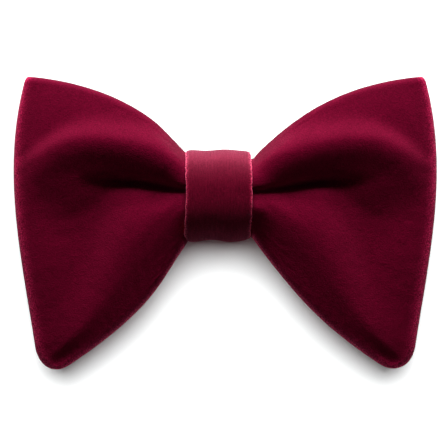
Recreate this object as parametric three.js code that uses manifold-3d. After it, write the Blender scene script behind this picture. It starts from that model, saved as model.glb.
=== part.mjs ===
// A pre-tied velvet bow tie, upright and facing -Y, with its adjustable neckband folded flat behind it.
// Millimetres, +Z up, +X to the viewer's right. The origin is the centre of the knot's flat back; the shapes
// are laid out from the plane of the bow's edge seam, and the whole is moved back at the end.
import * as THREE from "three";
import Module from "manifold-3d";
import { mergeVertices } from "three/addons/utils/BufferGeometryUtils.js";

const wasm = await Module();
wasm.setup();

// ---------------------------------------------------------------- driving dimensions
const GAP = 0.3; // clearance between neighbouring pieces
const VELVET = 1.2; // velvet with its lining
const CANVAS = 0.6; // interlining and knot lining
const TAPE = 0.8; // neckband thickness
const TAPE_WIDTH = 16;
const THREAD = 0.25; // thread radius

const KNOT_WIDTH = 21;
const KNOT_HEIGHT = 30;
const KNOT_FRONT = 12; // depth in front of the seam plane
const KNOT_BACK = 10.1; // depth behind it
const KNOT_ROUNDNESS_FRONT = 2.5; // superellipse exponents
const KNOT_ROUNDNESS_BACK = 5;
const KNOT_LAP = 8; // how far the two ends of the wrap overlap at the back
const KNOT_REST = KNOT_BACK + VELVET + GAP; // the lap's flat outer face

// The bow is cut symmetrically, but the knot sits a little to one side of its middle.
const BOW_MIDDLE_X = 2.2;
// Half outline, as distance from the bow's middle and height: top edge, bottom edge, outer edge.
const TOP_CORNER = new THREE.Vector2(65.8, 39.4);
const BOTTOM_CORNER = new THREE.Vector2(61.2, -62.3);
const vec2 = (a, z) => new THREE.Vector2(a, z);
const TOP_EDGE = new THREE.CubicBezierCurve(vec2(5.8, 7.4), vec2(23.8, 30.6), vec2(44.5, 37.3), TOP_CORNER);
const BOTTOM_EDGE = new THREE.CubicBezierCurve(
  vec2(7.3, -10.9),
  vec2(25.1, -37),
  vec2(34.6, -45.5),
  BOTTOM_CORNER,
);
const OUTER_EDGE = new THREE.CubicBezierCurve(BOTTOM_CORNER, vec2(65.1, -26.9), vec2(75.3, 4.3), TOP_CORNER);
const BOTTOM_ROUNDING = { u: 0.15, v: 0.12 }; // shares of the wing's length and height
const TOP_ROUNDING = { u: 0.02, v: 0.02 };
// The knot pulls each wing's edges in or out where they enter it, fading over a distance.
const KNOT_PULL = { left: { top: -1.6, bottom: 2.6 }, right: { top: 0.5, bottom: -0.6 } };
const KNOT_PULL_OVER = 7;

const EDGE_HALF = 1.5; // half the thickness of the turned seam
const FRONT_LOFT = 4.6; // padding in front of the seam plane
const FRONT_LOFT_WIDTH = { top: 10, bottom: 2, outer: 6.4 }; // distance from each edge over which it rises
const BACK_LOFT = 2.4;
const BACK_GATHER = 2; // fullness behind the wing where it is gathered into the knot
const BACK_GATHER_OVER = 8;
const BACK_LOFT_WIDTH = { top: 6, bottom: 6, outer: 6 };
const FOLD_FADE = { top: 3, bottom: 3, outer: 4 }; // distance from each edge over which the folds die out
const DROOP = { depth: 2.4, height: 50, distance: 65 }; // how far a corner at that place leans back
// Each fold has four evenly spaced stations, from the knot to the outer edge. centre is a share of the wing's
// height, rise is in mm towards the viewer, above and below are the widths on each side of the middle.
const FOLD_START = 11.4; // distance from the bow's middle of the first station
const FRONT_FOLDS = {
  upperRoll: {
    centre: [0.85, 0.81, 0.78, 0.68],
    rise: [6, 4.5, 3.5, 0.5],
    above: [7.5, 6, 5, 3.5],
    below: [12.5, 8.5, 9, 10],
  },
  hollow: {
    centre: [0.53, 0.59, 0.48, 0.54],
    rise: [-2.5, -1, -2, 0],
    above: [4.5, 5, 9, 15],
    below: [3, 9, 14, 16],
  },
  crease: {
    centre: [0.59, 0.62, 0.62, 0.65],
    rise: [-1, -1.8, 0, 0],
    above: [0.8, 1.5, 3, 5],
    below: [1.4, 2.5, 5, 6],
  },
  lowerLobe: {
    centre: [0.49, 0.28, 0.12, 0.05],
    rise: [8, 7, 6, 5],
    above: [8, 14, 14.5, 15],
    below: [14.5, 15.5, 11, 3],
  },
  sag: {
    centre: [0.43, 0.24, 0.12, 0.02],
    rise: [-6.5, -6, -7, -7.5],
    above: [15.5, 15, 18.5, 18.5],
    below: [21.5, 20.5, 18.5, 17],
  },
};

// Inside the knot the gathered waist keeps these shares of the wing's depth, and this half height.
const WAIST_DEPTH = { entry: 0.84, halfway: 0.78, middle: 0.74 };
const WAIST_HALF_HEIGHT = 11.6;
const BINDING = { turns: 3, pitch: 0.9, back: 5.7, front: 9, halfHeight: 12.25 }; // thread round the waist
const BINDING_ROUNDNESS = { back: 3.4, front: 2.6 };

// Neckband: each half runs out behind its wing, folds back, and folds out again.
const FOLD_OUT = { right: 66, left: -62 }; // x of the outer folds
const FOLD_IN = { right: 15, left: -15 }; // x of the inner folds
const LAYER = [6.9, 9.6, 12.8]; // y of the middle of each layer of tape
const RETURN_LAYER = LAYER[2] + TAPE + GAP; // the tape that comes back from the hook

const METAL = 0.8; // sheet thickness of the fittings
const SLIDER_X = 22; // centre bar of the slider
const SLIDER_HALF = 6; // half its length
const HOOK_BAR_X = 52;
const HOOK_LENGTH = 6.4; // of its frame
const TONGUE_WIDTH = 7;
const EYE_BAR_X = -52;
const EYE_LENGTH = 11;
const HOOK_SLOT = { start: 6, end: 9.4, halfHeight: 4.4 }; // the slot for the tongue, from the eye's inner end
const FITTING_HALF_Z = TAPE_WIDTH / 2 + 2; // half height of every fitting
const RAIL = 1.4; // width of a fitting's rails
const BAR = 1.6; // width of its bars
const SLOT = 2.9; // width of the slots for the tape
const CORNER = 1.2; // corner radius of the plates
const FITTING_Y = (LAYER[2] + RETURN_LAYER) / 2; // the hook and the eye lie between the two layers

// ---------------------------------------------------------------- materials
const velvet = () => new THREE.MeshStandardMaterial({ color: 0x5c0620, roughness: 0.95, metalness: 0 });
const backVelvet = () => new THREE.MeshStandardMaterial({ color: 0x4c061c, roughness: 0.95, metalness: 0 });
const canvas = () => new THREE.MeshStandardMaterial({ color: 0xd8cdb8, roughness: 0.9, metalness: 0 });
const grosgrain = () => new THREE.MeshStandardMaterial({ color: 0x4a0a1e, roughness: 0.6, metalness: 0 });
const thread = () => new THREE.MeshStandardMaterial({ color: 0x6e1430, roughness: 0.7, metalness: 0 });
const brass = () => new THREE.MeshStandardMaterial({ color: 0xc9a45c, roughness: 0.3, metalness: 1 });

const bowTie = new THREE.Group();

function add(name, geometry, material) {
  const mesh = new THREE.Mesh(geometry, material);
  mesh.name = name;
  bowTie.add(mesh);
  return mesh;
}

// ---------------------------------------------------------------- solids
function signedVolume(geometry) {
  const p = geometry.attributes.position;
  const index = geometry.index ? geometry.index.array : [...Array(p.count).keys()];
  const [a, b, c] = [new THREE.Vector3(), new THREE.Vector3(), new THREE.Vector3()];
  let sum = 0;
  for (let i = 0; i < index.length; i += 3) {
    a.fromBufferAttribute(p, index[i]);
    b.fromBufferAttribute(p, index[i + 1]);
    c.fromBufferAttribute(p, index[i + 2]);
    sum += a.dot(b.cross(c));
  }
  return sum / 6;
}

// One closed, indexed surface whose faces point out.
function closed(geometry) {
  const bare = new THREE.BufferGeometry().setAttribute("position", geometry.attributes.position);
  if (geometry.index) bare.setIndex(geometry.index);
  const merged = mergeVertices(bare, 1e-3);
  if (signedVolume(merged) < 0) {
    const index = merged.index.array;
    for (let i = 0; i < index.length; i += 3) [index[i + 1], index[i + 2]] = [index[i + 2], index[i + 1]];
  }
  merged.computeVertexNormals();
  return merged;
}

function solid(geometry) {
  const g = closed(geometry);
  return new wasm.Manifold(
    new wasm.Mesh({
      numProp: 3,
      vertProperties: new Float32Array(g.attributes.position.array),
      triVerts: new Uint32Array(g.index.array),
    }),
  );
}

function joined(...geometries) {
  const whole = geometries.map(solid).reduce((sum, next) => sum.add(next));
  const mesh = whole.getMesh();
  const geometry = new THREE.BufferGeometry();
  geometry.setAttribute("position", new THREE.BufferAttribute(mesh.vertProperties, 3));
  geometry.setIndex(new THREE.BufferAttribute(mesh.triVerts, 1));
  return closed(geometry);
}

function box([x0, x1], [y0, y1], [z0, z1]) {
  return new THREE.BoxGeometry(x1 - x0, y1 - y0, z1 - z0).translate(
    (x0 + x1) / 2,
    (y0 + y1) / 2,
    (z0 + z1) / 2,
  );
}

// A strip of the given thickness whose middle follows the points in a plane; width runs across that plane.
function strip(points, thickness, width) {
  const last = points.length - 1;
  const sides = [[], []];
  points.forEach((p, i) => {
    const along = points[Math.min(i + 1, last)].clone().sub(points[Math.max(i - 1, 0)]).normalize();
    const across = new THREE.Vector2(-along.y, along.x).multiplyScalar(thickness / 2);
    sides[0].push(p.clone().add(across));
    sides[1].push(p.clone().sub(across));
  });
  const outline = new THREE.Shape([...sides[0], ...sides[1].reverse()]);
  return new THREE.ExtrudeGeometry(outline, { depth: width, bevelEnabled: false }).translate(0, 0, -width / 2);
}

// A strip in the XY plane, as wide as the neckband unless told otherwise.
const tape = (points, thickness = TAPE, width = TAPE_WIDTH) => closed(strip(points, thickness, width));

const straightTape = (x0, x1, y) => tape([vec2(x0, y), vec2(x1, y)]);

function spline(pairs, count) {
  return new THREE.SplineCurve(pairs.map(([x, y]) => vec2(x, y))).getSpacedPoints(count);
}

function arc(x, y, radius, from, to, count) {
  return Array.from({ length: count + 1 }, (_, i) => {
    const angle = THREE.MathUtils.degToRad(from + ((to - from) * i) / count);
    return vec2(x + radius * Math.cos(angle), y + radius * Math.sin(angle));
  });
}

function threadTube(points, steps) {
  const path = new THREE.CatmullRomCurve3(points);
  const round = new THREE.Shape(new THREE.EllipseCurve(0, 0, THREAD, THREAD).getPoints(6).slice(0, 6));
  return closed(new THREE.ExtrudeGeometry(round, { steps, extrudePath: path, bevelEnabled: false }));
}

// Where a thread's middle lies when it rests on a layer of tape.
const overTape = (layer) => layer + TAPE / 2 + THREAD + 0.05;

// A zigzag of thread lying on a face at height y, across the tape.
function bartack(x, y, amplitude, count) {
  const reach = TAPE_WIDTH / 2 - 1.2;
  const points = Array.from({ length: count + 1 }, (_, i) => {
    const z = -reach + (2 * reach * i) / count;
    return new THREE.Vector3(x + (i % 2 ? amplitude : -amplitude), y, z);
  });
  return threadTube(points, count * 3);
}

// ---------------------------------------------------------------- bow
// The share of a curve at which it is the given distance from the bow's middle.
function shareAt(curve, distance) {
  let [low, high] = [0, 1];
  for (let i = 0; i < 40; i++) {
    const middle = (low + high) / 2;
    if (curve.getPoint(middle).x < distance) low = middle;
    else high = middle;
  }
  return low;
}

const roundedCorner = (t) => 1 - Math.sqrt(Math.max(0, 1 - t * t));

// How far out the wing reaches at height share v, as a share of its length.
function reachAt(v) {
  const bottom = Math.max(0, 1 - v / BOTTOM_ROUNDING.v);
  const top = Math.max(0, 1 - (1 - v) / TOP_ROUNDING.v);
  return 1 - BOTTOM_ROUNDING.u * roundedCorner(bottom) - TOP_ROUNDING.u * roundedCorner(top);
}

// A point of one wing: a patch between its four edges, with the distance to each.
function wingPoint(side, u, v) {
  const inner = KNOT_WIDTH / 2 + 3 * GAP - side * BOW_MIDDLE_X;
  const pull = KNOT_PULL[side < 0 ? "left" : "right"];
  const reach = reachAt(v);
  const s = u * reach;
  const pulled = (point, amount) => {
    point.y += amount * Math.exp(-(((point.x - inner) / KNOT_PULL_OVER) ** 2));
    return point;
  };
  const along = (curve, amount) => {
    const start = shareAt(curve, inner);
    return [start, start + (1 - start) * s].map((share) => pulled(curve.getPoint(share), amount));
  };
  const [topStart, top] = along(TOP_EDGE, pull.top);
  const [bottomStart, bottom] = along(BOTTOM_EDGE, pull.bottom);
  const outer = OUTER_EDGE.getPoint(v);
  const across = bottomStart.clone().lerp(topStart, v);
  const edges = bottom.clone().lerp(top, v).add(across.clone().lerp(outer, s));
  const corners = across.clone().lerp(BOTTOM_CORNER.clone().lerp(TOP_CORNER, v), s);
  const p = edges.sub(corners);
  const height = top.distanceTo(bottom);
  return {
    x: side * p.x + BOW_MIDDLE_X,
    z: p.y,
    distance: p.x,
    fromKnot: p.x - inner,
    share: THREE.MathUtils.clamp((p.x - FOLD_START) / (outer.x - FOLD_START), 0, 1),
    v,
    height,
    top: (1 - v) * height,
    bottom: v * height,
    outer: (reach - s) * outer.distanceTo(across),
  };
}

// A value given at each fold station, carried smoothly between them.
function atStation(values, share) {
  const last = values.length - 1;
  const slope = (i) => {
    const [before, after] = [Math.max(0, i - 1), Math.min(last, i + 1)];
    return (values[after] - values[before]) / (after - before);
  };
  const i = Math.min(last - 1, Math.floor(share * last));
  const t = share * last - i;
  const level = THREE.MathUtils.lerp(values[i], values[i + 1], t * t * (3 - 2 * t));
  return level + t * (1 - t) ** 2 * slope(i) - t * t * (1 - t) * slope(i + 1);
}

// A share that rises from 0 at the wing's edges to 1 inside.
function fromEdges(p, widths, power = 1) {
  let share = 1;
  for (const edge of ["top", "bottom", "outer"]) share *= 1 - Math.exp(-((p[edge] / widths[edge]) ** power));
  return share;
}

const foldFade = (p) => fromEdges(p, FOLD_FADE, 1.5);

function frontDepth(p) {
  let depth = EDGE_HALF + FRONT_LOFT * fromEdges(p, FRONT_LOFT_WIDTH);
  for (const fold of Object.values(FRONT_FOLDS)) {
    const off = (p.v - atStation(fold.centre, p.share)) * p.height;
    const width = atStation(off > 0 ? fold.above : fold.below, p.share);
    depth += atStation(fold.rise, p.share) * Math.exp(-((off / width) ** 2)) * foldFade(p);
  }
  return depth;
}

// The back is flatter, but stands out behind the deepest part of the front fold.
function backDepth(p) {
  const gathered = BACK_GATHER * Math.exp(-((p.fromKnot / BACK_GATHER_OVER) ** 2)) * foldFade(p);
  const loft = EDGE_HALF + BACK_LOFT * fromEdges(p, BACK_LOFT_WIDTH) + gathered;
  const room = 2 * VELVET + CANVAS + 5 * GAP;
  return Math.max(loft, foldFade(p) * room - frontDepth(p));
}

const seamPlane = (p) => DROOP.depth * (p.z / DROOP.height) ** 2 * (p.distance / DROOP.distance) ** 2;

// Inside the knot the wing's last section is squeezed to fit the opening.
function squeezed(p, x, share) {
  const z = THREE.MathUtils.lerp(-WAIST_HALF_HEIGHT, WAIST_HALF_HEIGHT, p.v);
  const least = EDGE_HALF + GAP;
  const front = Math.max(least, frontDepth(p) * share);
  const back = Math.max(least, backDepth(p) * share);
  return { x, z, front, back, seam: 0 };
}

// Columns of points from the left tip to the right tip, each running up the bow.
function bowColumns(perWing, rows, inset) {
  // Rows crowd towards the top and bottom, where the corners are.
  const rowShares = Array.from({ length: rows + 1 }, (_, j) => {
    const share = 0.4 * (j / rows) + 0.3 * (1 - Math.cos((Math.PI * j) / rows));
    return inset + (1 - 2 * inset) * share;
  });
  const wing = (side, u) =>
    rowShares.map((v) => {
      const p = wingPoint(side, u, v);
      return { x: p.x, z: p.z, front: frontDepth(p), back: backDepth(p), seam: seamPlane(p) };
    });
  const waist = (side, x, share) => rowShares.map((v) => squeezed(wingPoint(side, 0, v), x, share));
  const shares = Array.from({ length: perWing + 1 }, (_, i) => (1 - inset) * (i / perWing) ** 1.3);
  const throat = KNOT_WIDTH / 2 + GAP;
  return [
    ...shares.toReversed().map((u) => wing(-1, u)),
    waist(-1, -throat, WAIST_DEPTH.entry),
    waist(-1, -throat / 2, WAIST_DEPTH.halfway),
    waist(-1, 0, WAIST_DEPTH.middle),
    waist(1, throat / 2, WAIST_DEPTH.halfway),
    waist(1, throat, WAIST_DEPTH.entry),
    ...shares.map((u) => wing(1, u)),
  ];
}

// A sheet between two depths, closed round its rim.
function sheet(columns, nearY, farY) {
  const rows = columns[0].length;
  const size = columns.length * rows;
  const positions = [nearY, farY].flatMap((depth) =>
    columns.flatMap((column) => column.flatMap((p) => [p.x, depth(p), p.z])),
  );
  const index = [];
  const quad = (a, b, c, d) => index.push(a, b, c, a, c, d);
  const at = (i, j) => i * rows + j;
  for (let i = 0; i + 1 < columns.length; i++)
    for (let j = 0; j + 1 < rows; j++) {
      const [a, b, c, d] = [at(i, j), at(i + 1, j), at(i + 1, j + 1), at(i, j + 1)];
      quad(a, b, c, d);
      quad(a + size, d + size, c + size, b + size);
    }
  const rim = [
    ...columns.map((_, i) => at(i, 0)),
    ...columns[0].map((_, j) => at(columns.length - 1, j)).slice(1),
    ...columns.map((_, i) => at(i, rows - 1)).toReversed().slice(1),
    ...columns[0].map((_, j) => at(0, j)).toReversed().slice(1, -1),
  ];
  rim.forEach((a, i) => {
    const b = rim[(i + 1) % rim.length];
    quad(a, a + size, b + size, b);
  });
  const geometry = new THREE.BufferGeometry();
  geometry.setAttribute("position", new THREE.Float32BufferAttribute(positions, 3));
  geometry.setIndex(index);
  return closed(geometry);
}

function buildBow() {
  const columns = bowColumns(20, 28, 0);
  const front = (p) => p.seam - p.front;
  const back = (p) => p.seam + p.back;
  add("bow_front_panel", sheet(columns, front, (p) => front(p) + VELVET), velvet());
  add("bow_back_panel", sheet(columns, (p) => back(p) - VELVET, back), backVelvet());
  const liner = (p) => back(p) - VELVET - 1.5 * GAP;
  const inner = bowColumns(10, 12, 0.06);
  add("bow_interlining", sheet(inner, (p) => liner(p) - CANVAS, liner), canvas());
}

// ---------------------------------------------------------------- knot
// Mid-line of a layer of the knot, inset from its outer face; angle 0 is the back, 90 the top.
function knotPoint(angle, inset) {
  const [c, s] = [Math.cos(angle), Math.sin(angle)];
  const back = c > 0;
  const power = 2 / (back ? KNOT_ROUNDNESS_BACK : KNOT_ROUNDNESS_FRONT);
  const depth = (back ? KNOT_BACK : KNOT_FRONT) - inset;
  const y = Math.sign(c) * depth * Math.abs(c) ** power;
  const z = Math.sign(s) * (KNOT_HEIGHT / 2 - inset) * Math.abs(s) ** power;
  return vec2(y, z);
}

function knotLoop(inset, count) {
  const ring = Array.from({ length: 181 }, (_, i) => knotPoint((i / 180) * 2 * Math.PI, inset));
  const curve = new THREE.CatmullRomCurve3(ring.map((p) => new THREE.Vector3(p.x, p.y, 0)));
  return curve.getSpacedPoints(count).map((p) => vec2(p.x, p.y));
}

// Strips of the knot lie in the YZ plane and are as wide as the knot along X.
function knotStrip(points, thickness, width) {
  const turned = points.map((p) => vec2(p.y, p.x)); // (z, y), so that the width runs along X
  const geometry = strip(turned, thickness, width);
  return closed(geometry.applyMatrix4(new THREE.Matrix4().set(0, 0, 1, 0, 0, 1, 0, 0, 1, 0, 0, 0, 0, 0, 0, 1)));
}

function buildKnot() {
  const middle = VELVET / 2;
  const layerY = KNOT_BACK - middle; // inner layer at the back
  const lapY = layerY + VELVET + GAP; // outer layer at the back
  const around = knotLoop(middle, 72).filter((p) => p.x < 0 || Math.abs(p.y) > KNOT_LAP + 1);
  const wrap = [vec2(layerY, -KNOT_LAP / 2), vec2(layerY, 0), vec2(layerY, KNOT_LAP / 2 + 1)];
  const half = KNOT_LAP / 2;
  wrap.push(...around, vec2(lapY, -half - 0.6), vec2(lapY, -half), vec2(lapY, 0), vec2(lapY, half));
  add("knot_wrap", knotStrip(wrap, VELVET, KNOT_WIDTH), velvet());

  const liningInset = VELVET + GAP + CANVAS / 2;
  const lining = knotLoop(liningInset, 48);
  const gapped = lining.filter((p) => p.x < 0 || Math.abs(p.y) > 2);
  add("knot_lining", knotStrip(gapped, CANVAS, KNOT_WIDTH - 2), canvas());

  // Each slip stitch comes out of the edge of the lap and goes down into the layer under it.
  const stitches = 5;
  const low = layerY + middle + THREAD + 0.12;
  for (let i = 0; i < stitches; i++) {
    const x = ((i - (stitches - 1) / 2) * (KNOT_WIDTH - 5)) / (stitches - 1);
    const path = [
      [0, lapY + 0.2, half + THREAD + 0.1],
      [0.2, lapY - 0.1, half + 0.8],
      [0.4, low + 0.2, half + 1.3],
      [0.6, low, half + 1.9],
      [0.8, low, half + 3],
    ].map(([dx, y, z]) => new THREE.Vector3(x + dx, y, z));
    add(`knot_stitch_${i + 1}`, threadTube(path, 10), thread());
  }
}

// A few turns of thread round the gathered waist, under the knot.
function buildBinding() {
  const steps = 28; // per turn
  const points = Array.from({ length: BINDING.turns * steps + 1 }, (_, i) => {
    const angle = (i / steps) * 2 * Math.PI;
    const [c, s] = [Math.cos(angle), Math.sin(angle)];
    const face = c > 0 ? "back" : "front";
    const power = 2 / BINDING_ROUNDNESS[face];
    const y = Math.sign(c) * BINDING[face] * Math.abs(c) ** power;
    const z = Math.sign(s) * BINDING.halfHeight * Math.abs(s) ** power;
    return new THREE.Vector3(BINDING.pitch * (i / steps - BINDING.turns / 2), y, z);
  });
  add("waist_binding", threadTube(points, BINDING.turns * steps), thread());
}

// ---------------------------------------------------------------- neckband
function foldTape(name, x, layerA, layerB, outwards) {
  const middle = (layerA + layerB) / 2;
  const radius = (layerB - layerA) / 2;
  const start = x + outwards * (GAP / 2);
  const bend = arc(start, middle, radius, -90, 90, 8).map((p) => vec2(start + outwards * (p.x - start), p.y));
  add(name, tape(bend), grosgrain());
}

function buildNeckband() {
  const clear = GAP / 2;
  add("neckband_centre", straightTape(FOLD_OUT.left + clear, FOLD_OUT.right - clear, LAYER[0]), grosgrain());
  for (const [name, sign] of [
    ["left", -1],
    ["right", 1],
  ]) {
    foldTape(`${name}_outer_fold`, FOLD_OUT[name], LAYER[0], LAYER[1], sign);
    foldTape(`${name}_inner_fold`, FOLD_IN[name], LAYER[1], LAYER[2], -sign);
    const ends = [FOLD_IN[name] + sign * clear, FOLD_OUT[name] - sign * clear];
    add(`${name}_strap_middle`, straightTape(Math.min(...ends), Math.max(...ends), LAYER[1]), grosgrain());
    const tackX = sign * (KNOT_WIDTH / 2 + 1.6);
    add(`${name}_neckband_tack`, bartack(tackX, overTape(LAYER[0]), 0.5, 14), thread());
  }
}

// ---------------------------------------------------------------- hook side, with the slider
// The tape's turn round a bar at x, entering on the outer layer and leaving on the return layer.
function turnRoundBar(x, outwards, enter, leave) {
  const bulge = BAR / 2 + GAP + TAPE / 2 + 0.05;
  const at = (dx) => x + outwards * dx;
  return [
    [at(-enter), LAYER[2]],
    [at(-1.8), LAYER[2] - 0.3],
    [at(-0.4), FITTING_Y - bulge],
    [at(bulge * 0.75), FITTING_Y - bulge * 0.65],
    [at(bulge), FITTING_Y],
    [at(bulge * 0.75), FITTING_Y + bulge * 0.65],
    [at(-0.4), FITTING_Y + bulge],
    [at(-1.8), RETURN_LAYER + 0.3],
    [at(-3.2), RETURN_LAYER],
    [at(-leave), RETURN_LAYER],
  ];
}

// A flat frame in the XZ plane with slots, cut from sheet metal.
function plate([x0, x1], y, slots) {
  const shape = new THREE.Shape();
  const [left, right, top] = [x0 + CORNER, x1 - CORNER, FITTING_HALF_Z - CORNER];
  [[right, top], [left, top], [left, -top], [right, -top]].forEach(([x, z], quarter) => {
    shape.absarc(x, z, CORNER, (quarter * Math.PI) / 2, ((quarter + 1) * Math.PI) / 2, false);
  });
  for (const { x: [a, b], z } of slots) {
    shape.holes.push(new THREE.Path([vec2(a, -z), vec2(b, -z), vec2(b, z), vec2(a, z)]));
  }
  const flat = new THREE.ExtrudeGeometry(shape, { depth: METAL, bevelEnabled: false, curveSegments: 4 });
  return flat.rotateX(Math.PI / 2).translate(0, y + METAL / 2, 0);
}

const SLOT_HALF_Z = FITTING_HALF_Z - RAIL;

function buildSlider() {
  const frameY = LAYER[2] - TAPE / 2 - GAP - METAL / 2; // end bars pass under the tape
  const barY = RETURN_LAYER + TAPE / 2 + GAP + METAL / 2; // the centre bar bridges over it
  const ends = [SLIDER_X - SLIDER_HALF, SLIDER_X + SLIDER_HALF];
  const frame = plate(ends, frameY, [{ x: [ends[0] + BAR, ends[1] - BAR], z: SLOT_HALF_Z }]);
  const across = [SLIDER_X - BAR / 2, SLIDER_X + BAR / 2];
  const centreBar = box(across, [barY - METAL / 2, barY + METAL / 2], [-FITTING_HALF_Z, FITTING_HALF_Z]);
  const posts = [-1, 1].map((sign) => {
    const z = [sign * SLOT_HALF_Z, sign * FITTING_HALF_Z].sort((a, b) => a - b);
    return box(across, [frameY - METAL / 2, barY + METAL / 2], z);
  });
  add("slider_frame", joined(frame, centreBar, ...posts), brass());

  // The end of the tape goes round the centre bar and is sewn down on itself.
  const radius = METAL / 2 + GAP + TAPE / 2;
  const turnX = SLIDER_X - BAR / 2 + 0.4;
  const tabY = RETURN_LAYER + TAPE + GAP;
  const over = spline([[31, tabY], [28, tabY], [25.2, barY + radius - 0.1], [SLIDER_X, barY + radius]], 9);
  const under = [vec2(SLIDER_X + 4, RETURN_LAYER)];
  const loop = [...over, ...arc(turnX, barY, radius, 90, 270, 8), ...under];
  add("slider_tape_loop", tape(loop), grosgrain());
  add("slider_bartack", bartack(SLIDER_X + 7.2, overTape(tabY), 0.6, 12), thread());
}

function buildHookSide() {
  const tapeEnd = HOOK_BAR_X - 3;
  add("right_strap_end", straightTape(FOLD_IN.right + GAP / 2, tapeEnd, LAYER[2]), grosgrain());
  const turn = spline(turnRoundBar(HOOK_BAR_X, 1, 3 - GAP, 5.5), 26);
  add("hook_tape_turn", tape(turn), grosgrain());
  const returnTape = straightTape(SLIDER_X + 4 + GAP, HOOK_BAR_X - 5.5 - GAP, RETURN_LAYER);
  add("return_tape", returnTape, grosgrain());

  const barEnd = HOOK_BAR_X - BAR / 2;
  const slot = { x: [barEnd + BAR, barEnd + BAR + SLOT], z: SLOT_HALF_Z };
  const frame = plate([barEnd, barEnd + HOOK_LENGTH], FITTING_Y, [slot]);
  const root = barEnd + HOOK_LENGTH - METAL;
  const tongue = [
    vec2(root, FITTING_Y),
    vec2(root + 4.2, FITTING_Y),
    ...arc(root + 4.6, FITTING_Y + 1.4, 1.4, -80, 80, 8),
    vec2(root + 2.2, FITTING_Y + 2.7),
    vec2(root + 1.2, FITTING_Y + 3.1),
  ];
  add("hook", joined(frame, strip(tongue, METAL, TONGUE_WIDTH)), brass());
}

// ---------------------------------------------------------------- eye side
function buildEyeSide() {
  const turn = spline(turnRoundBar(EYE_BAR_X, -1, 4, 12), 30);
  const straight = vec2(FOLD_IN.left - GAP / 2, LAYER[2]);
  add("left_strap_end", tape([straight, ...turn]), grosgrain());
  add("eye_bartack", bartack(EYE_BAR_X + 10, overTape(RETURN_LAYER), 0.6, 12), thread());

  const barEnd = EYE_BAR_X + BAR / 2;
  const tapeSlot = { x: [barEnd - BAR - SLOT, barEnd - BAR], z: SLOT_HALF_Z };
  const hookSlot = { x: [barEnd - HOOK_SLOT.end, barEnd - HOOK_SLOT.start], z: HOOK_SLOT.halfHeight };
  add("eye", closed(plate([barEnd - EYE_LENGTH, barEnd], FITTING_Y, [tapeSlot, hookSlot])), brass());
}

buildBow();
buildKnot();
buildBinding();
buildNeckband();
buildSlider();
buildHookSide();
buildEyeSide();

bowTie.position.y = -KNOT_REST;

export default bowTie;
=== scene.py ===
"""A burgundy velvet bow tie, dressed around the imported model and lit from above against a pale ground."""

import math

import bmesh
import bpy
import numpy as np
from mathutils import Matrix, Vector


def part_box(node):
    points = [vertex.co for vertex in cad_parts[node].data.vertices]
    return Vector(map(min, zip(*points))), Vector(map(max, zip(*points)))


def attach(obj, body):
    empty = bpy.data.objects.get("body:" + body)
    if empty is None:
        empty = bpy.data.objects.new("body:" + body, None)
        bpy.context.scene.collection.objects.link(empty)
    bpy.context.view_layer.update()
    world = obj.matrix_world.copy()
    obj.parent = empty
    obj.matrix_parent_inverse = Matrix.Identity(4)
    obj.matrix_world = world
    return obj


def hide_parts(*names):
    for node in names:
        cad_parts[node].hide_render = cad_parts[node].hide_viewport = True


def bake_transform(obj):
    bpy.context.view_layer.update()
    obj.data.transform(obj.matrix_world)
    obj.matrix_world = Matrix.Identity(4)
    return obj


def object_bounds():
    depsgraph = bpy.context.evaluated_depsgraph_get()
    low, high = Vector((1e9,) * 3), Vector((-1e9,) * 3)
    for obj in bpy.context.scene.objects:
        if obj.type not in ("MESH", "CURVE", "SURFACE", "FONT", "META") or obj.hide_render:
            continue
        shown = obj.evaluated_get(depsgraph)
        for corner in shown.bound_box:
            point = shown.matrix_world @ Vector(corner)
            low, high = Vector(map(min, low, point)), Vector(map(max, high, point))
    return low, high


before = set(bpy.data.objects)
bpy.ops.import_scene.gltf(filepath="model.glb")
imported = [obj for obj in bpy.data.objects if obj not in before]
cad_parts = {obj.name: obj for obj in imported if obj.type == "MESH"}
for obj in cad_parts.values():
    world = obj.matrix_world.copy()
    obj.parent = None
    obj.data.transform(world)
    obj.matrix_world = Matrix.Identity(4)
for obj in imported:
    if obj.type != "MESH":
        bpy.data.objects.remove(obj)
cad_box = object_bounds()

MM = 0.001

# ---------------------------------------------------------------- shape of the bow and the knot, in mm
BOW_MIDDLE_X = 2.2  # the knot sits a little to one side of the bow's middle
# Half outline as distance from the bow's middle and height: cubic Bezier control points.
TOP_EDGE = np.array([(5.8, 7.4), (23.8, 30.6), (44.5, 37.3), (65.8, 39.4)])
BOTTOM_EDGE = np.array([(7.3, -10.9), (25.1, -37.0), (34.6, -45.5), (61.2, -62.3)])
OUTER_EDGE = np.array([(61.2, -62.3), (65.1, -26.9), (75.3, 4.3), (65.8, 39.4)])
BOTTOM_ROUNDING = (0.15, 0.12)  # shares of the wing's length and height
TOP_ROUNDING = (0.02, 0.02)
# The knot pulls each wing's edges in or out where they enter it, fading over a distance.
KNOT_PULL = {-1: {"top": -1.6, "bottom": 2.6}, 1: {"top": 0.5, "bottom": -0.6}}
KNOT_PULL_OVER = 7.0
# The outer corners lean back by this depth at this height and distance from the bow's middle.
DROOP = {"depth": 2.4, "height": 50.0, "distance": 65.0}

EDGE_HALF = 1.5  # half thickness of the turned seam
SEAM_ROUND = 1.9  # width over which it rounds off
LEAST_THICKNESS = 2.2  # of the bow away from its seam
FRONT_LOFT = 4.6  # how far the padding lifts the cloth, and the widths over which it does so from each edge
FRONT_LOFT_WIDTH = {"top": 10.0, "bottom": 2.0, "outer": 6.4}
BACK_LOFT = 2.4
BACK_LOFT_WIDTH = {"top": 6.0, "bottom": 6.0, "outer": 6.0}
BACK_GATHER = 2.0  # fullness behind the wing where it is gathered into the knot
BACK_GATHER_OVER = 8.0

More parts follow.
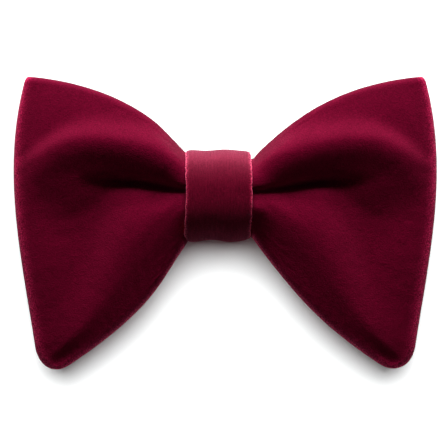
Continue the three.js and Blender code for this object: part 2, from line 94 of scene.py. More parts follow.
# Each fold has four evenly spaced stations, from the knot to the outer edge. centre is a share of the wing's
# height, rise is in mm towards the viewer, above and below are the widths on each side of the fold's middle.
FOLD_START = 11.4  # distance from the bow's middle where the first station lies
FOLD_FADE = {"top": 3.0, "bottom": 3.0, "outer": 4.0}  # widths over which the folds fade out at the edges
FOLDS = {
    "upper_roll": {
        "centre": [0.85, 0.81, 0.78, 0.68],
        "rise": [6.0, 4.5, 3.5, 0.5],
        "above": [7.5, 6.0, 5.0, 3.5],
        "below": [12.5, 8.5, 9.0, 10.0],
    },
    "hollow": {
        "centre": [0.53, 0.59, 0.48, 0.54],
        "rise": [-2.5, -1.0, -2.0, 0.0],
        "above": [4.5, 5.0, 9.0, 15.0],
        "below": [3.0, 9.0, 14.0, 16.0],
    },
    "crease": {
        "centre": [0.59, 0.62, 0.62, 0.65],
        "rise": [-1.0, -1.8, 0.0, 0.0],
        "above": [0.8, 1.5, 3.0, 5.0],
        "below": [1.4, 2.5, 5.0, 6.0],
    },
    "lower_lobe": {
        "centre": [0.49, 0.28, 0.12, 0.05],
        "rise": [8.0, 7.0, 6.0, 5.0],
        "above": [8.0, 14.0, 14.5, 15.0],
        "below": [14.5, 15.5, 11.0, 3.0],
    },
    "sag": {
        "centre": [0.43, 0.24, 0.12, 0.02],
        "rise": [-6.5, -6.0, -7.0, -7.5],
        "above": [15.5, 15.0, 18.5, 18.5],
        "below": [21.5, 20.5, 18.5, 17.0],
    },
}

KNOT = {"width": 21.0, "height": 30.0, "front": 12.0, "back": 10.1}  # front and back are depths from the seam
KNOT_ROUNDNESS = {"front": 2.3, "back": 5.0}  # of its loop, where 2 is an ellipse
# How far the left and the right side stand out at the top, how much less at the bottom, and their belly.
KNOT_SIDES = [
    {"top": 0.35, "narrowing": 1.2, "belly": 0.25},
    {"top": 0.1, "narrowing": 0.25, "belly": 0.6},
]
KNOT_RIPPLE = 0.13  # how far its sides ripple in and out
KNOT_RIPPLES = 60  # on each side
KNOT_CORNER = 0.8  # how far its corners round off
WAVE_TURN = 0.5  # radians per mm of the waves across its upper and lower end
UPPER_WAVE = {"height": 0.2, "phase": 0.5}
LOWER_WAVE = {"height": 0.35, "phase": 2.6}
WAVE_START, WAVE_OVER = 4.0, 8.0  # they start this far from its middle and are whole after this much more
WRAP = 1.2  # thickness of the knot's velvet
LAP = 8.0  # how far the ends of its velvet lap at the back
LAP_GAP = 0.3
LAP_EASE = 5.0  # the two ends part over this length beyond the lap
LINING = 0.5  # thickness
LINING_MARGIN = 1.0  # the lining is this much narrower than the velvet on each side
LINING_GAP_HALF = 2.0  # half the gap between its ends, at the back
CANVAS_HALF = 0.15  # half thickness of the bow's interlining

WING_GAP = 0.9  # between the knot's side and the first column of a wing
ROWS, COLUMNS, WAIST_COLUMNS = 84, 71, 6  # the mesh over each wing
ROW_CROWDING, COLUMN_CROWDING = 0.85, 0.75  # 0 spaces them evenly, 1 crowds them most near the edges
WAIST_HALF_HEIGHT = 11.8
WAIST_INSET = 0.4  # from the knot's side to the end of the cloth inside it
WAIST_ENTRY = 0.84  # share of the wing's depth that is left where it enters the knot
WAIST_FRONT = {"depth": 8.6, "swell": 1.15, "roundness": 2.6}
WAIST_BACK = {"depth": 5.3, "swell": 0.85, "roundness": 3.4}
FAR_FROM_EDGE = 20.0  # the cloth inside the knot counts as this far from any edge
SEAM_HELD = 0.3  # cloth this near the edge is held by the seam when the bow settles
KNOT_HELD = 1.0  # and so is cloth this near the knot

SEAM_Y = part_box("knot_wrap")[0].y / MM + KNOT["front"]  # the plane of the bow's edge seam


# ---------------------------------------------------------------- bow surface
def bezier(points, t):
    t = np.asarray(t)[..., None]
    s = 1 - t
    return s**3 * points[0] + 3 * s * s * t * points[1] + 3 * s * t * t * points[2] + t**3 * points[3]


def share_at(points, distance):
    """The share of a curve at which it is this far from the bow's middle."""
    low, high = 0.0, 1.0
    for _ in range(40):
        middle = (low + high) / 2
        if bezier(points, middle)[0] < distance:
            low = middle
        else:
            high = middle
    return low


def along_fold(values, share):
    """A value given at each of a fold's stations, carried smoothly between them."""
    values = np.asarray(values, float)
    slopes = np.gradient(values)
    place = np.clip(share, 0, 1) * (len(values) - 1)
    i = np.minimum(place.astype(int), len(values) - 2)
    t = place - i
    ease = t * t * (3 - 2 * t)
    level = values[i] * (1 - ease) + values[i + 1] * ease
    return level + t * (1 - t) ** 2 * slopes[i] - t * t * (1 - t) * slopes[i + 1]


def pulled_edge(edge, inner, s, pull):
    """Where an edge leaves the knot, and its points at shares s from there, with the knot's pull."""
    start = share_at(edge, inner)
    points = [bezier(edge, start), bezier(edge, start + (1 - start) * s)]
    for point in points:
        point[..., 1] += pull * np.exp(-(((point[..., 0] - inner) / KNOT_PULL_OVER) ** 2))
    return points


def corner_loss(from_corner, rounding):
    """How much shorter the wing is near a rounded corner, as a share of its length."""
    length, height = rounding
    near = np.clip(1 - from_corner / height, 0, 1)
    return length * (1 - np.sqrt(1 - near**2))


def wing_patch(side, u, v):
    """Places of a wing's grid, with the distance to each of its edges."""
    inner = KNOT["width"] / 2 + WING_GAP - side * BOW_MIDDLE_X
    u, v = np.meshgrid(u, v, indexing="ij")
    reach = 1 - corner_loss(v, BOTTOM_ROUNDING) - corner_loss(1 - v, TOP_ROUNDING)
    s = u * reach
    top_start, top = pulled_edge(TOP_EDGE, inner, s, KNOT_PULL[side]["top"])
    bottom_start, bottom = pulled_edge(BOTTOM_EDGE, inner, s, KNOT_PULL[side]["bottom"])
    outer = bezier(OUTER_EDGE, v)
    S, V = s[..., None], v[..., None]
    across = bottom_start * (1 - V) + top_start * V
    corners = across * (1 - S) + (OUTER_EDGE[0] * (1 - V) + OUTER_EDGE[3] * V) * S
    p = bottom * (1 - V) + top * V + across * (1 - S) + outer * S - corners
    height = np.linalg.norm(top - bottom, axis=-1)
    return {
        "x": side * p[..., 0] + BOW_MIDDLE_X,
        "z": p[..., 1],
        "distance": p[..., 0],
        "from_knot": p[..., 0] - inner,
        "share": (p[..., 0] - FOLD_START) / (outer[..., 0] - FOLD_START),
        "v": v,
        "height": height,
        "top": (1 - v) * height,
        "bottom": v * height,
        "outer": (reach - s) * np.linalg.norm(outer - across, axis=-1),
    }


def seam_profile(p):
    """Rounds the cloth off into the seam, as a share of the edge's half thickness."""
    share = 1.0
    for edge in ("top", "bottom", "outer"):
        q = np.clip(p[edge] / SEAM_ROUND, 0, 1)
        share = share * np.sqrt(1 - (1 - q) ** 2)
    return share


def away_from_edges(p, widths, power=1.0):
    """A share that grows from 0 at the edges to 1 inside, over the width given for each edge."""
    share = 1.0
    for edge, width in widths.items():
        share = share * (1 - np.exp(-((p[edge] / width) ** power)))
    return share


def fold_fade(p):
    return away_from_edges(p, FOLD_FADE, 1.5)


def fold_at(fold, p):
    """A fold's rise at every point, and how near each is to the fold's middle line, from 0 to 1."""
    keys = ("centre", "rise", "above", "below")
    centre, rise, above, below = (along_fold(fold[key], p["share"]) for key in keys)
    off = (p["v"] - centre) * p["height"]
    return rise, np.exp(-((off / np.where(off > 0, above, below)) ** 2))


def painted_crease_shade(p):
    """How deep in the crease a point lies, from 0 to 1; the velvet is darkened by it there as painted shade.
    """
    rise, near = fold_at(FOLDS["crease"], p)
    return np.clip(rise / min(FOLDS["crease"]["rise"]), 0, 1) * near


def front_depth(p):
    depth = EDGE_HALF * seam_profile(p) + FRONT_LOFT * away_from_edges(p, FRONT_LOFT_WIDTH)
    for fold in FOLDS.values():
        rise, near = fold_at(fold, p)
        depth = depth + rise * near * fold_fade(p)
    return depth


def back_depth(p, front):
    gathered = BACK_GATHER * np.exp(-((p["from_knot"] / BACK_GATHER_OVER) ** 2)) * fold_fade(p)
    depth = EDGE_HALF * seam_profile(p) + BACK_LOFT * away_from_edges(p, BACK_LOFT_WIDTH) + gathered
    least = LEAST_THICKNESS * fold_fade(p) - front
    return np.maximum(depth, least)


def gathered_waist(wing, z, squeeze, shape):
    """One face of the cloth inside the knot, from the thread that pinches its middle (squeeze 0) to the first
    column of the wing (squeeze 1). It swells on each side of the thread until it fills the knot."""
    depth = shape["depth"] + shape["swell"] * (1 - (2 * squeeze - 1) ** 2)
    power = shape["roundness"]
    full = depth * np.clip(1 - np.abs(z / WAIST_HALF_HEIGHT) ** power, 0, 1) ** (1 / power)
    share = squeeze**4
    return WAIST_ENTRY * wing * share + full * (1 - share)


def half_bow(side, shares, rows):
    """One half of bow_columns, from the thread at the knot's middle to the wing's tip."""
    p = wing_patch(side, shares, rows)
    front = front_depth(p)
    back = back_depth(p, front)
    seam = DROOP["depth"] * (p["z"] / DROOP["height"]) ** 2 * (p["distance"] / DROOP["distance"]) ** 2
    squeeze = np.linspace(0, 1, WAIST_COLUMNS)[:-1, None]
    z = (rows * 2 - 1)[None, :] * WAIST_HALF_HEIGHT * np.ones_like(squeeze)
    x = side * (KNOT["width"] / 2 - WAIST_INSET) * squeeze + 0 * z
    waist = [
        np.stack([x, -gathered_waist(front[:1], z, squeeze, WAIST_FRONT), z], -1),
        np.stack([x, gathered_waist(back[:1], z, squeeze, WAIST_BACK), z], -1),
        np.full_like(z, FAR_FROM_EDGE),
        np.zeros_like(z),
    ]
    wing = [
        np.stack([p["x"], seam - front, p["z"]], -1),
        np.stack([p["x"], seam + back, p["z"]], -1),
        np.minimum(p["bottom"], p["outer"]),
        painted_crease_shade(p),
    ]
    return [np.concatenate(grids) for grids in zip(waist, wing)]


def bow_columns():
    """Grids of every column from the left tip to the right tip: front points, back points, distance from the
    wing's lower and outer edges, and depth in the crease, which darkens the velvet as painted shade."""
    t = np.linspace(0, 1, ROWS + 1)
    rows = (1 - ROW_CROWDING) * t + ROW_CROWDING * (1 - np.cos(math.pi * t)) / 2
    t = np.linspace(0, 1, COLUMNS)
    shares = (1 - COLUMN_CROWDING) * t + COLUMN_CROWDING * np.sin(t * math.pi / 2)
    joined = []
    for left, right in zip(half_bow(-1, shares, rows), half_bow(1, shares, rows)):
        middle = (left[:1] + right[:1]) / 2
        joined.append(np.concatenate([left[:0:-1], middle, right[1:]]))
    return joined


# ---------------------------------------------------------------- mesh helpers
def mesh_object(name, vertices, faces, uvs=None):
    mesh = bpy.data.meshes.new(name)
    mesh.from_pydata([tuple(v) for v in vertices], [], faces)
    mesh.update()
    mesh.polygons.foreach_set("use_smooth", [True] * len(mesh.polygons))
    obj = bpy.data.objects.new(name, mesh)
    bpy.context.collection.objects.link(obj)
    if uvs is not None:
        layer = mesh.uv_layers.new(name="UVMap")
        loops = np.zeros(len(mesh.loops), int)
        mesh.loops.foreach_get("vertex_index", loops)
        layer.data.foreach_set("uv", np.asarray(uvs, np.float32)[loops].ravel())
    return obj


def face_outwards(obj):
    mesh = bmesh.new()
    mesh.from_mesh(obj.data)
    bmesh.ops.remove_doubles(mesh, verts=mesh.verts, dist=1e-6)
    bmesh.ops.recalc_face_normals(mesh, faces=mesh.faces)
    mesh.to_mesh(obj.data)
    mesh.free()


def mark(obj, name, values):
    """Keeps one number per vertex for the materials."""
    layer = obj.data.attributes.new(name, "FLOAT", "POINT")
    layer.data.foreach_set("value", np.asarray(values, np.float32))


def grid_quads(at):
    """The corners of every cell in a grid of point numbers."""
    return np.stack([at[:-1, :-1], at[1:, :-1], at[1:, 1:], at[:-1, 1:]], -1).reshape(-1, 4)


def pillow(name, front, back, marks=None):
    """A closed skin from two grids that meet round their rim. marks hold numbers for its front and back."""
    columns, rows = front.shape[:2]
    rim = np.ones((columns, rows), bool)
    rim[1:-1, 1:-1] = False
    front = np.where(rim[..., None], (front + back) / 2, front)
    points = np.concatenate([front.reshape(-1, 3), back.reshape(-1, 3)])
    near = np.arange(columns * rows).reshape(columns, rows)
    far = np.where(rim, near, near + columns * rows)
    quads = np.concatenate([grid_quads(near), grid_quads(far)[:, ::-1]])
    used, faces = np.unique(quads, return_inverse=True)
    obj = mesh_object(name, (points[used] + (0, SEAM_Y, 0)) * MM, faces.reshape(-1, 4).tolist())
    for key, values in (marks or {}).items():
        mark(obj, key, np.ravel(values)[used])
    return obj


# ---------------------------------------------------------------- cloth
SETTLE_FRAMES = 16
SETTLE_SCALE = 20  # cloth behaves better at the size of a cushion


def add_cloth(trial, hold, pressure):
    """Padded cloth. hold is each vertex's pull towards its own place, from 0 to 1."""
    group = trial.vertex_groups.new(name="held")
    levels = np.round(hold, 1)
    for level in np.unique(levels):
        group.add(np.flatnonzero(levels == level).tolist(), float(level), "REPLACE")
    cloth = trial.modifiers.new("cloth", "CLOTH")
    cloth.point_cache.frame_end = SETTLE_FRAMES
    settings = cloth.settings
    settings.quality = 4
    settings.mass = 0.2
    settings.vertex_group_mass = group.name
    settings.pin_stiffness = 1.0
    settings.tension_stiffness = 12
    settings.compression_stiffness = 12
    settings.shear_stiffness = 4
    settings.bending_stiffness = 10
    settings.shrink_min = -0.004
    settings.use_pressure = True
    settings.uniform_pressure_force = pressure
    settings.effector_weights.gravity = 0


def settle(obj, hold, pressure, cap):
    """Lets padded cloth swell and relax a little. cap is the furthest that any point may move, in mm."""
    mesh = obj.data
    start = np.zeros(len(mesh.vertices) * 3)
    mesh.vertices.foreach_get("co", start)
    start = start.reshape(-1, 3)
    trial = bpy.data.objects.new("trial", mesh.copy())
    bpy.context.collection.objects.link(trial)
    trial.data.vertices.foreach_set("co", (start * SETTLE_SCALE).ravel())
    add_cloth(trial, hold, pressure)
    for frame_number in range(1, SETTLE_FRAMES + 1):
        bpy.context.scene.frame_set(frame_number)
    solved = trial.evaluated_get(bpy.context.evaluated_depsgraph_get()).data
    moved = np.zeros(start.size)
    solved.vertices.foreach_get("co", moved)
    shift = moved.reshape(-1, 3) / SETTLE_SCALE - start
    length = np.linalg.norm(shift, axis=1, keepdims=True) / MM
    shift *= np.tanh(length / cap) * cap / np.maximum(length, 1e-9)
    mesh.vertices.foreach_set("co", (start + shift).ravel())
    mesh.update()
    bpy.data.objects.remove(trial)
    bpy.context.scene.frame_set(1)


# ---------------------------------------------------------------- materials
# Tones of the velvet by the angle it is seen at, from facing the viewer (0) to turned away (1): its own
# colour where it faces, lighter towards turned away as painted sheen.
BOW_COLOUR_AND_PAINTED_SHEEN = [(0.0, (0.155, 0.0012, 0.02)), (0.35, (0.23, 0.006, 0.035)), (1.0, (0.26, 0.035, 0.07))]
KNOT_COLOUR_AND_PAINTED_SHEEN = [(0.0, (0.17, 0.003, 0.022)), (0.35, (0.36, 0.035, 0.08)), (1.0, (0.37, 0.07, 0.12))]
# Tones of the brass from its dull to its bright patches.
BRASS_TONES = [(0.3, (0.47, 0.3, 0.105)), (0.7, (0.7, 0.49, 0.21))]
RUBBED_BRASS = (0.8, 0.64, 0.36)
CANVAS_COLOUR = (0.62, 0.55, 0.44)
TAPE_COLOUR = (0.1, 0.004, 0.017)
THREAD_COLOUR = (0.16, 0.012, 0.035)
WAVE_PITCH = math.pi / 10  # scale of a wave texture that repeats once a metre


class Finish:
    """A material in the making. Wherever a value is asked for, another node's output may be given instead."""

    def __init__(self, name, coordinates="Object"):
        self.material = bpy.data.materials.new(name)
        self.material.use_nodes = True
        self.nodes = self.material.node_tree.nodes
        self.coordinates = coordinates

    def feed(self, socket, value):
        if isinstance(value, bpy.types.NodeSocket):
            self.material.node_tree.links.new(value, socket)
        else:
            socket.default_value = value

    def add(self, kind, values=None, **settings):
        """A new shader node with its settings and input values."""
        made = self.nodes.new("ShaderNode" + kind)
        for key, value in settings.items():
            setattr(made, key, value)
        for key, value in (values or {}).items():
            self.feed(made.inputs[key], value)
        return made

    def texture(self, kind, values, **settings):
        """The strength of a procedural texture, from 0 to 1."""
        place = self.add("TexCoord").outputs[self.coordinates]
        return self.add("Tex" + kind, {"Vector": place, **values}, **settings).outputs["Fac"]

    def attribute(self, name):
        return self.add("Attribute", attribute_name=name).outputs["Fac"]

    def facing(self):
        """0 where the surface faces the viewer, 1 where it turns away."""
        return self.add("LayerWeight", {"Blend": 0.5}).outputs["Facing"]

    def maths(self, operation, first, second):
        return self.add("Math", {0: first, 1: second}, operation=operation).outputs["Value"]

    def ranged(self, value, to_min, to_max, from_min=0.0, from_max=1.0):
        """A value carried from one range over to another."""
        limits = {"From Min": from_min, "From Max": from_max, "To Min": to_min, "To Max": to_max}
        return self.add("MapRange", {"Value": value, **limits}).outputs["Result"]

    def ramp(self, value, stops):
        """The colour at a value, between stops that are each a place and a colour."""
        made = self.add("ValToRGB", {"Fac": value})
        elements = made.color_ramp.elements
        while len(elements) < len(stops):
            elements.new(0.5)
        for element, (place, colour) in zip(elements, stops):
            element.position = place
            element.color = (*colour, 1)
        return made.outputs["Color"]

    def mixed(self, blend, factor, first, second):
        colours = {"Factor": factor, "A": first, "B": second}
        return self.add("Mix", colours, data_type="RGBA", blend_type=blend).outputs["Result"]

    def shaded(self, colour, value, low, high):
        """The colour, scaled between low and high by a value from 0 to 1."""
        return self.mixed("MULTIPLY", 1.0, colour, self.ranged(value, low, high))

    def bumps(self, *layers):
        """The normal given by layers of bump, each with a height, a strength and a depth in mm."""
        below = {}
        for height, strength, depth in layers:
            values = {"Height": height, "Strength": strength, "Distance": depth * MM, **below}
            below = {"Normal": self.add("Bump", values).outputs["Normal"]}
        return below["Normal"]

    def done(self, values):
        """Fills in the shader and hands over the material."""
        shader = self.nodes["Principled BSDF"]
        for key, value in values.items():
            self.feed(shader.inputs[key], value)
        return self.material


def velvet(name, stops, edge, ribs=0.0):
    """Pile that is lighter where it turns away from the viewer, as painted sheen, and that fans out along
    turned edges, where it gets a painted highlight and a painted rim light by emission. edge holds the
    strength of that painted highlight, the width over which it fades (reach, in mm), and the strength of that
    painted rim light."""
    finish = Finish(name)
    pile = finish.texture("Noise", {"Scale": 2400.0, "Detail": 2.0, "Roughness": 0.6})
    nap = finish.texture("Noise", {"Scale": 160.0, "Detail": 5.0, "Roughness": 0.65})
    near_edge = finish.ranged(finish.attribute("edge"), 1.0, 0.0, from_max=edge["reach"] * MM)
    specks = finish.ranged(pile, 0.1, 2.2, from_min=0.35, from_max=0.7)
    # where the painted highlight and the painted rim light fall: near turned edges, speckled with the pile
    painted_edge_light = finish.maths("MULTIPLY", finish.maths("POWER", near_edge, 3.0), specks)

    # painted sheen: the velvet is lighter where it turns away from the viewer
    colour = finish.ramp(finish.facing(), stops)
    colour = finish.shaded(colour, pile, 0.3, 1.75)
    colour = finish.shaded(colour, nap, 0.8, 1.2)
    # painted highlight along turned edges
    colour = finish.shaded(colour, painted_edge_light, 1.0, 1.0 + edge["painted_highlight"])
    # painted shade: the velvet is darker deep in the crease
    colour = finish.shaded(colour, finish.attribute("crease"), 1.0, 0.25)

    bumps = [(nap, 0.3, 1.2), (pile, 0.6, 0.4)]
    if ribs:
        wave = finish.texture("Wave", {"Scale": 330.0, "Distortion": 1.5, "Detail": 2.0})
        bumps.insert(1, (wave, ribs, 0.2))
    return finish.done(
        {
            "Base Color": colour,
            "Normal": finish.bumps(*bumps),
            "Roughness": 0.95,
            "Specular IOR Level": 0.03,
            "Sheen Weight": 0.04,
            "Sheen Roughness": 0.3,
            "Sheen Tint": (1.0, 0.4, 0.5, 1),
            # painted rim light: the pile near turned edges glows by emission
            "Emission Color": (1.0, 0.1, 0.25, 1),
            "Emission Strength": finish.maths("MULTIPLY", painted_edge_light, edge["painted_rim_light"]),
        }
    )


def woven(name, colour, ribs_per_m, threads_per_m, roughness, sheen, depth):
    """Cloth with ribs along u and threads along v, both in metres. depth is the ribs' depth in mm."""
    finish = Finish(name, "UV")
    ribs, threads = (
        finish.texture(
            "Wave",
            {"Scale": count * WAVE_PITCH, "Distortion": 0.4, "Detail": 1.0},
            bands_direction=direction,
        )
        for direction, count in (("X", ribs_per_m), ("Y", threads_per_m))
    )
    fibre = finish.texture("Noise", {"Scale": 900.0, "Detail": 4.0})
    # painted shade: the colour is darker in the grooves between the ribs, where the bump is low
    shade = finish.shaded((*colour, 1), ribs, 0.55, 1.15)
    shade = finish.shaded(shade, threads, 0.85, 1.05)
    shade = finish.shaded(shade, fibre, 0.7, 1.3)
    return finish.done(
        {
            "Base Color": shade,
            "Normal": finish.bumps((ribs, 0.8, depth), (threads, 0.4, depth / 2), (fibre, 0.3, depth / 2)),
            "Roughness": roughness,
            "Specular IOR Level": 0.12,
            "Sheen Weight": sheen,
            "Sheen Tint": (*(min(1, c * 3 + 0.1) for c in colour), 1),
        }
    )


def twisted_thread(name, colour):
    finish = Finish(name)
    strands = {"Scale": 500.0, "Distortion": 2.0, "Detail": 2.0}
    twist = finish.texture("Wave", strands, bands_direction="DIAGONAL")
    return finish.done(
        {
            "Base Color": finish.shaded((*colour, 1), twist, 0.5, 1.3),
            "Normal": finish.bumps((twist, 0.8, 0.1)),
            "Roughness": 0.5,
        }
    )


def worn_brass(name):
    """Polished sheet brass, duller in patches and paler where its edges are rubbed."""
    finish = Finish(name)
    patches = finish.texture("Noise", {"Scale": 220.0, "Detail": 5.0, "Roughness": 0.6})
    scratches = finish.texture("Noise", {"Scale": 700.0, "Detail": 6.0, "Distortion": 1.5})
    tone = finish.ramp(patches, BRASS_TONES)
    pointiness = finish.add("NewGeometry").outputs["Pointiness"]
    rubbed = finish.ranged(pointiness, 0.0, 1.0, from_min=0.52, from_max=0.6)
    return finish.done(
        {
            "Base Color": finish.mixed("MIX", rubbed, tone, (*RUBBED_BRASS, 1)),
            "Normal": finish.bumps((scratches, 0.15, 0.1)),
            "Roughness": finish.ranged(patches, 0.25, 0.5),
            "Metallic": 1.0,
        }
    )


# ---------------------------------------------------------------- sweeps
SHORTEST_STEP = 0.05  # points of a path that lie closer than this are doubles, in mm


def rounded_section(width, thickness, steps=10):
    """A strip's cross-section, as (across, out) pairs: flat faces and round edges."""
    radius = thickness / 2
    flat = np.linspace(-1, 1, steps + 1) * (width / 2 - radius)
    angles = np.radians([60, 30, 0, -30, -60])
    right = np.stack([width / 2 - radius + radius * np.cos(angles), radius * np.sin(angles)], -1)
    outer = np.stack([flat, radius + 0 * flat], -1)
    inner = np.stack([flat[::-1], -radius + 0 * flat], -1)
    left = right[::-1] * (-1, 1)
    return np.concatenate([outer, right, inner, left])


def sweep(name, path, across, section):
    """A closed strip along a path. across is the direction of its width; the section's out side is on the
    path's left when seen with across pointing up."""
    path = np.asarray(path, float)
    across = np.asarray(across, float)
    along = np.gradient(path, axis=0)
    along /= np.linalg.norm(along, axis=1, keepdims=True)
    out = np.cross(across, along)
    rings = path[:, None] + section[None, :, :1] * across + section[None, :, 1:] * out[:, None]
    count, ring = rings.shape[:2]
    at = np.arange(count * ring).reshape(count, ring)
    after = np.roll(at, -1, axis=1)
    quads = np.stack([at[:-1], at[1:], after[1:], after[:-1]], -1).reshape(-1, 4).tolist()
    caps = [at[0].tolist(), at[-1][::-1].tolist()]
    length = np.concatenate([[0], np.cumsum(np.linalg.norm(np.diff(path, axis=0), axis=1))])
    uvs = np.stack(np.broadcast_arrays(length[:, None], section[None, :, 0]), -1).reshape(-1, 2) * MM
    vertices = (rings.reshape(-1, 3) + (0, SEAM_Y, 0)) * MM
    obj = mesh_object(name, vertices, quads + caps, uvs)
    face_outwards(obj)
    return obj


def smooth_path(points, per_span):
    """A Catmull-Rom curve through the points."""
    p = np.asarray(points, float)
    p = np.concatenate([2 * p[:1] - p[1:2], p, 2 * p[-1:] - p[-2:-1]])
    t = (np.arange(per_span) / per_span)[:, None]
    spans = []
    for a, b, c, d in zip(p, p[1:], p[2:], p[3:]):
        square = 2 * a - 5 * b + 4 * c - d
        cube = 3 * b - a - 3 * c + d
        spans.append(0.5 * (2 * b + (c - a) * t + square * t**2 + cube * t**3))
    return np.concatenate(spans + [p[-2:-1]])


def straight(start, end):
    """Points about a millimetre apart."""
    start, end = np.asarray(start, float), np.asarray(end, float)
    count = max(2, int(np.linalg.norm(end - start)))
    return start + (end - start) * np.linspace(0, 1, count + 1)[:, None]


def half_turn(x, low, high, direction):
    """The tape's bend from one layer to the next, bulging the given way along X."""
    angle = np.radians(np.arange(-90, 91, 15))
    middle, radius = (low + high) / 2, (high - low) / 2
    return np.stack([x + direction * radius * np.cos(angle), middle + radius * np.sin(angle)], -1)


def joined_path(*parts):
    """Pieces of path end to end, without doubled points."""
    whole = np.concatenate(parts)
    steps = np.linalg.norm(np.diff(whole, axis=0), axis=1)
    return whole[np.concatenate([[True], steps > SHORTEST_STEP])]


# ---------------------------------------------------------------- bow and knot
def dress(obj, material, body, slot, *nodes):
    """Gives a piece its material, its body (or none, where it lies between two), and the CAD nodes that
    it stands for."""
    obj.data.materials.append(material)
    if body:
        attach(obj, body)
    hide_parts(*nodes)
    return obj


def build_bow(pile, canvas):
    front, back, edge, crease = bow_columns()
    # crease holds how deep in the crease each point lies, which darkens the velvet's front as painted shade
    bow = pillow("velvet_bow", front, back, {"edge": (edge * MM, edge * MM), "crease": (crease, 0 * crease)})
    x = np.array([v.co.x for v in bow.data.vertices]) / MM
    from_edge = np.array([d.value for d in bow.data.attributes["edge"].data]) / MM
    held = (np.abs(x) < KNOT["width"] / 2 + KNOT_HELD) | (from_edge < SEAM_HELD)
    settle(bow, np.where(held, 1.0, 0.4), pressure=4.0, cap=0.6)
    dress(bow, pile, "bow", "velvet", "bow_front_panel", "bow_back_panel")

    trim = (slice(5, -5, 2), slice(6, -6, 2))  # it stops short of the seams, and every second point is enough
    middle = (front + back)[trim] / 2
    half = np.array([0, CANVAS_HALF, 0])
    sheet = pillow("canvas_interlining", middle - half, middle + half)
    dress(sheet, canvas, "bow", "canvas", "bow_interlining")


def knot_loop(inset, steps):
    """(y, z) round the knot's middle line, from the back over the top to the front and back underneath."""
    angle = np.linspace(0, 2 * math.pi, steps + 1)
    c, s = np.cos(angle), np.sin(angle)
    behind = c > 0
    power = 2 / np.where(behind, KNOT_ROUNDNESS["back"], KNOT_ROUNDNESS["front"])
    depth = np.where(behind, KNOT["back"], KNOT["front"]) - inset
    y = np.sign(c) * depth * np.abs(c) ** power
    z = np.sign(s) * (KNOT["height"] / 2 - inset) * np.abs(s) ** power
    return np.stack([y, z], -1)


def open_behind(loop, half_gap):
    """The loop without the stretch at its back that lies within this height of its middle."""
    return loop[(loop[:, 0] < 0) | (np.abs(loop[:, 1]) > half_gap)]


def shape_knot(wrap):
    """Narrows the strip towards its lower end, bellies and ripples its sides, and rounds its corners."""
    rng = np.random.default_rng(7)
    places = np.arange(KNOT_RIPPLES + 1)
    ripples = [rng.uniform(-1, 1, len(places)) for _ in KNOT_SIDES]
    for vertex in wrap.data.vertices:
        x, y, z = (c / MM for c in vertex.co)
        side = KNOT_SIDES[int(x > 0)]
        height = z / KNOT["height"] + 0.5
        belly = 4 * np.clip(height * (1 - height), 0, 1)
        ripple = np.interp(np.clip(height, 0, 1) * KNOT_RIPPLES, places, ripples[int(x > 0)])
        to_side = abs(x) / (KNOT["width"] / 2)
        narrow = side["top"] - side["narrowing"] * (1 - height)
        out = (narrow + side["belly"] * belly + KNOT_RIPPLE * ripple) * to_side
        wave = UPPER_WAVE if z > 0 else LOWER_WAVE
        rise = wave["height"] * math.sin(WAVE_TURN * x + wave["phase"])
        rise -= math.copysign(KNOT_CORNER * to_side**10, z)
        to_end = np.clip((abs(z) - WAVE_START) / WAVE_OVER, 0, 1)
        vertex.co = Vector((x + math.copysign(out, x), y, z + to_end * rise)) * MM


def build_knot(pile, canvas):
    inner_y = KNOT["back"] - WRAP / 2
    outer_y = inner_y + WRAP + LAP_GAP
    loop = open_behind(knot_loop(WRAP / 2, 96), LAP / 2 + LAP_EASE)
    under = straight((inner_y, -LAP / 2), (inner_y, LAP / 2 + 1))
    over = straight((outer_y, -LAP / 2), (outer_y, LAP / 2))
    start = smooth_path([under[-1], loop[0], loop[1]], 6)
    end = smooth_path([loop[-2], loop[-1], over[0]], 6)
    path = joined_path(under, start, loop[1:-1], end, over)
    section = rounded_section(KNOT["width"], WRAP, 24)
    wrap = sweep("velvet_knot", np.insert(path, 0, 0.0, axis=1), (1, 0, 0), section)
    shape_knot(wrap)
    across = np.tile(section[:, 0], len(path))
    mark(wrap, "edge", (KNOT["width"] / 2 - np.abs(across)) * MM)
    dress(wrap, pile, "bow", "velvet", "knot_wrap")

    loop = open_behind(knot_loop(WRAP + 2 * LAP_GAP, 72), LINING_GAP_HALF)
    section = rounded_section(KNOT["width"] - 2 * LINING_MARGIN, LINING)
    lining = sweep("canvas_knot_lining", np.insert(loop, 0, 0.0, axis=1), (1, 0, 0), section)
    dress(lining, canvas, "bow", "canvas", "knot_lining")


# ---------------------------------------------------------------- neckband, in mm
TAPE = 0.8  # thickness
TAPE_WIDTH = 16.0
TAPE_GAP = 0.3  # between the slider's tab and the tape under it
BEND_CLEAR = 0.55  # places beside a bend lie this far from the middle of each of its two layers
BAR_INSET = 0.8  # from the edge of the hook or the eye to the middle of its bar
BAR_TURN = 1.55  # radius of the tape's turn round that bar
TURN_IN = 4.0  # the turn takes over from the last layer this far before the bar
TURN_OUT = 5.5  # and hands over to the return layer this far from the bar
STRETCH_START = 3.0  # past its inner fold, the last layer on the right goes on as another piece from here
STRETCH_MARGIN = 1.0  # a place this far from where a piece of tape ends
EYE_TAPE_END = 12.0  # the tape ends this far from the eye's bar
SLIDER_BAR_HALF = 0.4
SLIDER_TURN = 1.1  # radius of the tape's turn round the slider's bar
SLIDER_OVERLAP = 4.0  # the tape goes on this far past that bar
SLIDER_TAB = 9.0  # length of the tape's end, sewn down on the other side of the bar


def middle_of(node_name):
    low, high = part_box(node_name)
    return (low + high) / 2 / MM


LAYERS = [middle_of(n).y - SEAM_Y for n in ("neckband_centre", "right_strap_middle", "right_strap_end")]
RETURN_LAYER = middle_of("return_tape").y - SEAM_Y
FITTING_LAYER = middle_of("eye").y - SEAM_Y


